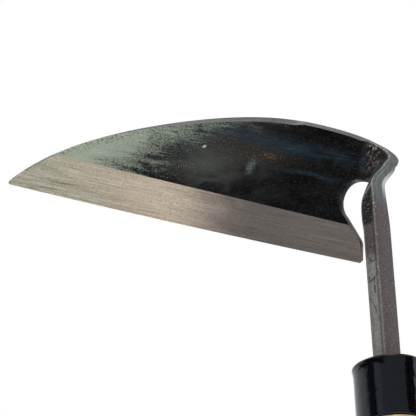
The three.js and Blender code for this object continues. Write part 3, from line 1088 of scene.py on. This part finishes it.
def tip_oxide_and_sheen(p):
    """Pale oxide over the tip, partly painted reflection of the oiled scale, with a ragged edge drawn out
    along the blade.
    """
    hairs, pebble, grit = p.hairs, p.pebble, p.grit
    border = p.s + 14 + p.w * 1.4
    ragged = (p.streaks - 0.5) * 46 + p.sway * 54 + (pebble - 0.5) * 30 + (grit - 0.5) * 30
    pale = p.step(border + ragged, 146, 162)
    haze = p.step(border + ragged * 1.5, 130, 156) * p.step(p.w, 20, 32)
    core = p.step(border + ragged * 0.8, 160, 182)
    flecks = p.step(pebble * 0.55 + grit * 0.45, 0.51, 0.60)
    crumbly = p.most(p.step(p.inset, 5.5, 1.0), p.step(core, 0.9, 0.2))
    # The haze and mint tones are partly oxide and partly painted reflection.
    haze_tone = p.mix(p.step(hairs * 0.5 + pebble * 0.5, 0.46, 0.60), (42, 46, 46), (92, 102, 95))
    p.coat(haze, p.mix(flecks, haze_tone, (30, 31, 31)))
    mint = p.mix(core, (120, 129, 117), (150, 159, 143))
    mint = p.mix(p.step(hairs, 0.5, 0.7) * 0.5, mint, (168, 173, 152))
    mint = p.mix(p.step(p.cloud, 0.48, 0.64) * 0.25, mint, (100, 110, 100))
    mint = p.mix(flecks * (crumbly * 0.75 + 0.14), mint, (34, 35, 34))
    p.coat(pale, mint)
    verge = p.step(border + ragged, 134, 148) * p.step(core, 0.6, 0.1)
    # Painted highlight: small bright glints along the border. The dark coat below is pits.
    p.coat(verge * p.step(grit, 0.58, 0.72, 0.0, 0.6), (150, 158, 146))
    p.coat(verge * p.step(grit, 0.46, 0.38), (22, 22, 22))
    return p.most(pale, haze * 0.6)


def blue_bands(p):
    """Two bands of blue scale along the blade, partly painted teal sheen."""
    high = p.hump(p.w + p.sway * 8 + p.s * -0.04, 36.6, 4.8) * p.hump(p.s, 44, 62)
    low = p.hump(p.w + p.sway * 4, 28.6, 1.7) * p.hump(p.s, 34, 32)
    grain = p.step(p.streaks * 0.6 + p.hairs * 0.4, 0.34, 0.56)
    # Blue scale with painted teal sheen, and lighter painted sheen streaks in the upper band.
    p.coat(p.most(high, low) * grain * 0.9, (28, 45, 55))
    p.coat(p.step(p.hairs, 0.56, 0.70) * high * 0.35, (74, 92, 94))


def back_weld(p):
    """On the back, scale runs over the weld of the steel strip."""
    weld = p.step(p.depth, 0.85, 0.95) * p.step(p.w + p.sway * 22, 36, 25)
    p.coat(weld, p.mix(p.step(p.cloud, 0.35, 0.68), (18, 18, 20), (46, 45, 44)))


def front_marks(p):
    """A pale smear, a bright speck and a little rust, on the front only."""
    s, w = p.s, p.w
    in_front = p.step(p.depth, 0.5, 0.1)
    smear = p.hump(s + (w - 27) * 0.25, 58, 3.2) * p.hump(w, 27.5, 5) * in_front
    p.coat(smear * p.step(p.pebble, 0.30, 0.60), (86, 98, 93))
    speck = p.hump(s + w * 0.8, 108.2, 1.2) * p.hump(w, 31.8, 0.9)
    p.coat(speck * in_front, (196, 198, 190))
    rust = p.hump(s, 50, 5) * p.hump(w, 33.0, 1.2) * p.step(p.pebble, 0.46, 0.58)
    p.coat(rust * in_front, (132, 84, 58))


def bend_oxide_and_glints(p):
    """Brown oxide where the blade turns into the neck, with bright pinkish specks of painted highlight."""
    strands = p.noise(p.place, (0.9, 0.45, 0.6), 4, 0.7, 0.8, turn=(0, 0, 0.6))
    bend = p.hump(p.s + p.sway * 8, 1.5, 8) * p.step(p.w, 30, 38)
    oxide = p.mix(p.step(strands, 0.45, 0.63), (16, 14, 14), (104, 96, 92))
    p.coat(bend * p.step(p.pebble + p.sway * 0.6, 0.36, 0.56), oxide)
    # Painted highlights: small bright glints on the oxide at the bend.
    crumb_glints = p.step(strands, 0.51, 0.61) * p.hump(p.s, 2, 5) * p.hump(p.w, 44.5, 3.6)
    p.coat(crumb_glints * 0.9, (196, 184, 184))


def neck_wear(p):
    """The neck: black near the bend, then worn to grey-brown and lower down to bare grey."""
    level, pebble = p.level, p.pebble
    worn = p.step(level + p.sway * 4, MOUTH + 56.5, MOUTH + 55) * p.beside
    dusky = p.mix(p.step(pebble, 0.35, 0.65), (50, 45, 41), (72, 66, 61))
    bare = p.mix(p.step(pebble, 0.35, 0.7), (104, 100, 100), (120, 117, 117))
    plain = p.mix(p.step(level + (pebble - 0.5) * 10, MOUTH + 45, MOUTH + 40), dusky, bare)
    plain = p.mix(p.step(p.grit, 0.58, 0.70) * 0.35, plain, (70, 66, 65))
    lower = scratches(p, p.point) * p.hump(level, MOUTH + 32, 22)
    upper = scratches(p, p.scaled(p.point, (1.2, 1.2, 1.2), move=(0.6, 0.2, 0.1)))
    marked = p.most(lower, upper * p.hump(level, MOUTH + 44, 9))
    plain = p.mix(p.step(marked, 0.1, 0.5) * 0.85, plain, (46, 43, 42))
    p.coat(worn, plain)
    return worn


def scratches(p, vector):
    """Thin wandering lines in a few patches: where a slow noise field crosses its middle."""
    field = p.noise(vector, (130, 130, 90), 2, 0.4, 1.2, move=(4, 7, 1))
    patch = p.step(p.noise(vector, (160, 160, 70), 1, 0.5, move=(1, 3, 9)), 0.36, 0.46)
    return p.hump(field, 0.50, 0.028) * patch


def right_side(p):
    """Blue-grey round the bend, purple-brown below, with pale specks."""
    level, grit = p.level, p.grit
    side = p.step(p.inset, 0.9, 0.2) * p.beside
    bluish = p.mix(p.step(p.cloud, 0.35, 0.65), (62, 72, 78), (84, 92, 96))
    bluish = p.mix(p.step(level, MOUTH + 78, MOUTH + 86), bluish, (88, 90, 88))
    brownish = p.mix(p.step(grit, 0.36, 0.64), (60, 50, 53), (82, 71, 74))
    brownish = p.mix(p.step(p.pebble, 0.58, 0.68) * 0.5, brownish, (92, 76, 72))
    brownish = p.mix(p.step(grit, 0.68, 0.74) * 0.7, brownish, (150, 140, 138))
    p.coat(side, p.mix(p.step(level + p.sway * 10, MOUTH + 60, MOUTH + 68), brownish, bluish))
    return side


def arris_wear(p, side):
    """A dark line, then a worn bright one that is partly painted highlight, with painted glints. The outer
    arris of the bend and a second line on its side are painted highlights.
    """
    level, inset, depth, grit = p.level, p.inset, p.depth, p.grit
    wear = p.stored("wear")
    p.coat(p.hump(inset, 1.3, 0.8) * p.beside * wear * 0.85, (40, 35, 33))
    # Worn bare metal on the arris, brightened as a painted highlight.
    rubbed_sheen = p.hump(inset, 0.45, 0.65) * p.step(grit, 0.25, 0.55, 0.45, 1.0) * wear
    p.coat(rubbed_sheen * 0.9, p.mix(p.step(level, MOUTH + 62, MOUTH + 70), (122, 114, 108), (138, 139, 132)))
    # Painted glints on the worn line.
    p.coat(rubbed_sheen * p.step(grit, 0.62, 0.70), (214, 206, 198))
    # Painted highlight: a second pale line on the side wall of the bend.
    second_highlight = p.hump(depth, 0.22, 0.07) * p.hump(level, MOUTH + 77, 11) * side
    p.coat(second_highlight * 0.6, (150, 150, 142))
    # Painted highlight along the outer arris of the bend.
    outer = p.step(depth, 0.70, 0.80) * p.hump(level, MOUTH + 75, 10) * p.beside
    p.coat(outer * p.step(inset, 0.6, 0.2), (186, 188, 186))


# ---- ground steel

def brushed(p, place, s, w):
    """Coats of steel ground along the edge. Gives back their roughness and relief."""
    lines = p.noise(place, (0.045, 1.5, 1), 3, 0.7)
    broad = p.noise(place, (0.02, 0.5, 0.5), 2, 0.6)
    grain = p.noise(place, (0.9, 1.9, 1.6), 2, 0.7)
    fine = p.noise(place, (0.3, 3.6, 3), 2, 0.7)
    blotch = p.noise(place, (0.06, 0.10, 0.1), 3, 0.5)
    tone = p.step(s + (blotch - 0.5) * 30, 54, 98)
    tip = p.step(s + w * -0.6, 108, 160)
    p.base = p.mix(tone, (112, 106, 103), (216, 200, 182))
    p.coat(tip, (206, 203, 182))
    pale = p.mix(tone, (136, 130, 126), (246, 238, 222))
    deep = p.mix(tone, (72, 67, 64), (136, 124, 110))
    streaky = p.blend(tip, 0.40, 0.85)
    p.coat(p.step(lines, 0.52, 0.64) * streaky, pale)
    p.coat(p.step(lines, 0.46, 0.34) * streaky, deep)
    p.coat(p.step(broad, 0.45, 0.30) * 0.25, deep)
    p.coat(p.step(grain, 0.52, 0.66) * 0.4, pale)
    p.coat(p.step(grain, 0.46, 0.32) * 0.45, deep)
    specks = p.step(p.cells(place, (0.13, 0.20, 0.2)), 0.075, 0.04)
    p.coat(specks * 0.7, (40, 36, 34))
    rough = p.blend(p.step(grain, 0.3, 0.7), 0.38, 0.52) + specks * 0.2
    return rough, grain + fine + lines * 0.6


def ground_iron():
    """The bevel, and the strip along the spine, which is ground along its own line."""
    p = Paint("ground_bevel", Metallic=0.9)
    place, s, w = p.blade()
    rough, height = brushed(p, place, s, w)
    inset = p.stored("inset")
    lines = p.noise(p.add("ShaderNodeCombineXYZ", {0: s, 1: inset}), (0.06, 3.0, 1), 3, 0.65)
    strip = p.mix(p.step(inset, 0.5, 1.3), (88, 93, 96), (104, 101, 99))
    strip = p.mix(p.step(lines, 0.42, 0.66) * 0.5, strip, (134, 131, 128))
    strip = p.mix(p.step(lines, 0.48, 0.34) * 0.5, strip, (66, 65, 66))
    strip = p.mix(p.step(s, 92, 140), strip, (62, 63, 64))
    strip = p.mix(p.step(s, 54, 34, 0.0, 0.6), strip, (156, 153, 150))
    dull_rim = p.step(s, 110, 130) * p.step(inset, 0.75, 0.25) * p.step(w, 3, 6)
    p.coat(dull_rim * 0.8, (58, 60, 58))
    on_spine = p.step(w, 24, 27)
    p.coat(on_spine, strip)
    return p.finish(p.blend(on_spine, rough, 0.5), p.bump(p.blend(on_spine, height, lines), 0.045))


def steel_strip():
    """Ground bright near the edge. Above that the back keeps its scale."""
    p = Paint("edge_steel")
    place, s, w = p.blade()
    rough, height = brushed(p, place, s, w)
    cloud = p.noise(place, (0.09, 0.2, 0.1), 4, 0.6, 0.4)
    pebble = p.noise(place, (0.8, 0.9, 0.9), 3, 0.55)
    black = p.step(w + (cloud - 0.5) * 7, 12.4, 13.6)
    p.coat(black, p.mix(p.step(cloud, 0.35, 0.68), (20, 20, 22), (52, 50, 48)))
    p.set(Metallic=p.blend(black, 1.0, 0.1))
    return p.finish(p.blend(black, rough, 0.4), p.bump(p.blend(black, height, pebble * 2.0), 0.04))


# ---- wood, lacquer and pin steel

def wood(name, light, dark, move=(0.03, -0.02, 0)):
    """Straight-grained hardwood: growth rings round a pith outside the piece, pores and wear."""
    p = Paint(name, Metallic=0.0, Specular_IOR_Level=0.35)
    place = p.millimetres(move)
    sway = p.noise(place, (0.03, 0.03, 0.008), 3, 0.5)
    across = p.scaled(place, (0.42, 0.42, 0.012))
    rings_at = p.add("ShaderNodeVectorMath", {0: across, 1: sway}, operation="ADD")
    rings = p.add(
        "ShaderNodeTexWave",
        {"Vector": rings_at, "Scale": 0.55, "Distortion": 2.2, "Detail": 2.0, "Detail Scale": 0.6},
        "Fac", wave_type="RINGS", rings_direction="Z", wave_profile="SAW",
    )
    pores = p.noise(place, (3.2, 3.2, 0.11), 3, 0.65)
    fibre = p.noise(place, (1.2, 1.2, 0.03), 4, 0.6)
    cloud = p.noise(place, (0.05, 0.05, 0.02), 3, 0.5)
    p.base = p.mix(p.step(rings, 0.15, 0.95), light, dark)
    p.coat(p.step(fibre, 0.42, 0.7) * 0.5, dark)
    p.coat(p.step(pores, 0.60, 0.72) * 0.65, (96, 62, 40))
    p.coat(p.step(cloud, 0.45, 0.7) * 0.30, (150, 108, 76))
    height = p.part(p.point, 2)
    grimy = p.step(cloud, 0.40, 0.62) * p.step(height, 0.03, 0.10) * p.step(height, 0.27, 0.2)
    p.coat(grimy * 0.35, (118, 84, 60))
    rough = p.blend(p.step(fibre, 0.3, 0.7), 0.46, 0.60) + grimy * -0.10
    return p.finish(rough, p.bump(pores * -0.7 + fibre * 0.5, 0.06))


def ferrule_gloss():
    """Black lacquer with slow ripples, a few dull scuffs and a line of red-brown painted reflection on the
    rim.
    """
    p = Paint("ferrule_gloss", Metallic=0.0, Specular_IOR_Level=0.5)
    place = p.millimetres()
    ripple = p.noise(place, (0.15, 0.15, 0.26), 2, 0.5, 0.8)
    dust = p.noise(place, (1.9, 1.9, 1.9), 3, 0.6)
    scuff = p.step(p.noise(place, (0.5, 0.5, 2.4), 3, 0.6), 0.62, 0.72)
    p.base = p.mix(p.step(dust, 0.4, 0.7), (3, 3, 6), (9, 10, 14))
    # Painted reflection: a red-brown line along the rim.
    edge = p.hump(p.part(place, 2), MOUTH - 0.55, 0.35) * p.step(ripple, 0.45, 0.6)
    p.coat(edge * 0.7, (116, 78, 66))
    p.coat(scuff * 0.25, (70, 68, 70))
    rough = p.blend(p.step(dust, 0.3, 0.7), 0.06, 0.13) + scuff * 0.18
    return p.finish(rough, p.bump(ripple + dust * 0.010, 0.24))


def pin_steel():
    """Drawn steel with a little rust."""
    p = Paint("pin_steel", Metallic=1.0)
    place = p.millimetres()
    marks = p.noise(place, (1.6, 1.6, 1.6), 4, 0.65)
    rust = p.step(p.noise(place, (0.7, 0.7, 0.7), 3, 0.6, move=(9, 2, 4)), 0.52, 0.66)
    p.base = p.mix(p.step(marks, 0.35, 0.7), (128, 126, 124), (168, 166, 162))
    p.coat(rust * 0.6, (104, 74, 56))
    rough = p.blend(p.step(marks, 0.3, 0.7), 0.30, 0.48) + rust * 0.2
    return p.finish(rough, p.bump(marks, 0.05))


# ---- stage, light and camera

def floor():
    side = 8.0
    mesh = bpy.data.meshes.new("floor")
    corners = [(-side, -side, 0), (side, -side, 0), (side, side, 0), (-side, side, 0)]
    mesh.from_pydata(corners, [], [(0, 1, 2, 3)])
    p = Paint("pale_floor", Roughness=0.85, Specular_IOR_Level=0.2)
    tone = p.noise(p.point, (3, 3, 3), 3, 0.5)
    p.set(Base_Color=p.blend(tone, 0.93, 0.96))
    mesh.materials.append(p.material)
    plane = bpy.data.objects.new("floor", mesh)
    link(plane)
    plane.visible_glossy = False


# brightness of the room round the object, by degrees from +X towards +Y
PANELS = [
    (-180, 0.95), (-137, 0.66), (-126, 0.04), (-105, 0.03), (-101, 0.54), (-84, 0.50),
    (-80, 0.36), (-4, 0.33), (0, 0.015), (31, 0.015), (36, 0.95), (180, 0.95),
]


def panel_ramp(room, turn):
    """The panels, as a colour for each direction. The dim ones are cool."""
    inputs = {"Value": turn, "From Min": -math.pi, "From Max": math.pi}
    panels = room.add("ShaderNodeValToRGB", {"Fac": room.add("ShaderNodeMapRange", inputs)})
    ramp = panels.socket.node.color_ramp
    while len(ramp.elements) < len(PANELS):
        ramp.elements.new(0.5)
    for element, (degrees, level) in zip(ramp.elements, PANELS):
        cool = 0.3 if level > 0.6 else 1.0
        element.position = (degrees + 180) / 360
        element.color = (level * (1 - 0.10 * cool), level, level * (1 + 0.20 * cool), 1)
    return panels


def studio():
    """A white backdrop, and tall soft panels round the object with dark gaps between them.
    Only reflections see the panels: plain white light falls on the object from all round."""
    world = bpy.data.worlds.new("studio")
    bpy.context.scene.world = world
    world.use_nodes = True
    world.node_tree.nodes.clear()
    room = Nodes(world.node_tree)
    direction = room.add("ShaderNodeTexCoord", output="Generated")
    x, y, rise = [room.part(direction, axis) for axis in range(3)]
    turn = room.math("ARCTAN2", y, x)
    front = room.step(turn, -3.0, -2.6) * room.step(turn, -0.95, -1.4)
    gap = front * room.step(rise, -0.16, -0.08) * room.step(rise, 0.30, 0.18)
    seen = room.mix(room.step(rise, -0.10, -0.22), panel_ramp(room, turn), (1.50, 1.48, 1.43, 1))
    seen = room.mix(room.step(rise, -0.28, -0.80), seen, (0.30, 0.30, 0.30, 1))
    seen = room.mix(gap, seen, (0.02, 0.02, 0.022, 1))
    seen = room.mix(room.step(rise, 0.80, 0.95), seen, (0.75, 0.75, 0.76, 1))
    shiny = room.add("ShaderNodeBackground", {"Color": seen, "Strength": 1.0})
    plain = room.add("ShaderNodeBackground", {"Color": (1, 1, 1, 1), "Strength": 1.0})
    glossy = room.add("ShaderNodeLightPath", output="Is Glossy Ray")
    light = room.add("ShaderNodeMixShader", {0: glossy, 1: plain, 2: shiny})
    room.add("ShaderNodeOutputWorld", {"Surface": light})


def soft_light(name, place, aim, size, power):
    lamp = bpy.data.lights.new(name, "AREA")
    lamp.shape = "DISK"
    lamp.size = size
    lamp.energy = power
    holder = bpy.data.objects.new(name, lamp)
    holder.location = place
    holder.rotation_euler = (Vector(aim) - Vector(place)).to_track_quat("-Z", "Y").to_euler()
    holder.visible_camera = False
    link(holder)


def camera():
    azimuth, elevation, roll = (math.radians(a) for a in (43.46, -27.49, -2.02))
    target = np.array([-85.15, 0, MOUTH + 96.79]) * MM
    distance = 804.26 * MM
    level = np.array([math.cos(azimuth), math.sin(azimuth), 0])
    reach = math.cos(elevation)
    away = np.array([math.sin(azimuth) * reach, -math.cos(azimuth) * reach, math.sin(elevation)])
    upward = np.cross(away, level)
    right = math.cos(roll) * level + math.sin(roll) * upward
    up = -math.sin(roll) * level + math.cos(roll) * upward
    lens = bpy.data.cameras.new("camera")
    lens.sensor_width = 36
    lens.lens = 172.3
    lens.clip_start = 0.01
    holder = bpy.data.objects.new("camera", lens)
    place = target + away * distance
    rows = [[right[i], up[i], away[i], place[i]] for i in range(3)]
    holder.matrix_world = Matrix([*rows, [0, 0, 0, 1]])
    link(holder)
    bpy.context.scene.camera = holder


# ---- everything together

camera()
studio()
floor()
soft_light("key", (-0.9, -0.5, 1.5), (-0.05, 0, 0.4), 0.9, 7)

handle_wood = wood("handle_wood", (222, 186, 152), (194, 150, 112))
key_wood = wood("key_wood", (208, 170, 134), (176, 130, 94), move=(11, 7, 3))
blank = Blank()
blade_forging(blank, forged_iron(), ground_iron())
edge_steel(blank, steel_strip())
handle(handle_wood)
slot_key(key_wood)
tang_wedge(key_wood)
ferrule(ferrule_gloss())
metal = pin_steel()
cross_pin(metal)
ferrule_tack(metal)

bpy.context.scene.view_settings.view_transform = "Standard"
bpy.context.scene.view_settings.look = "None"
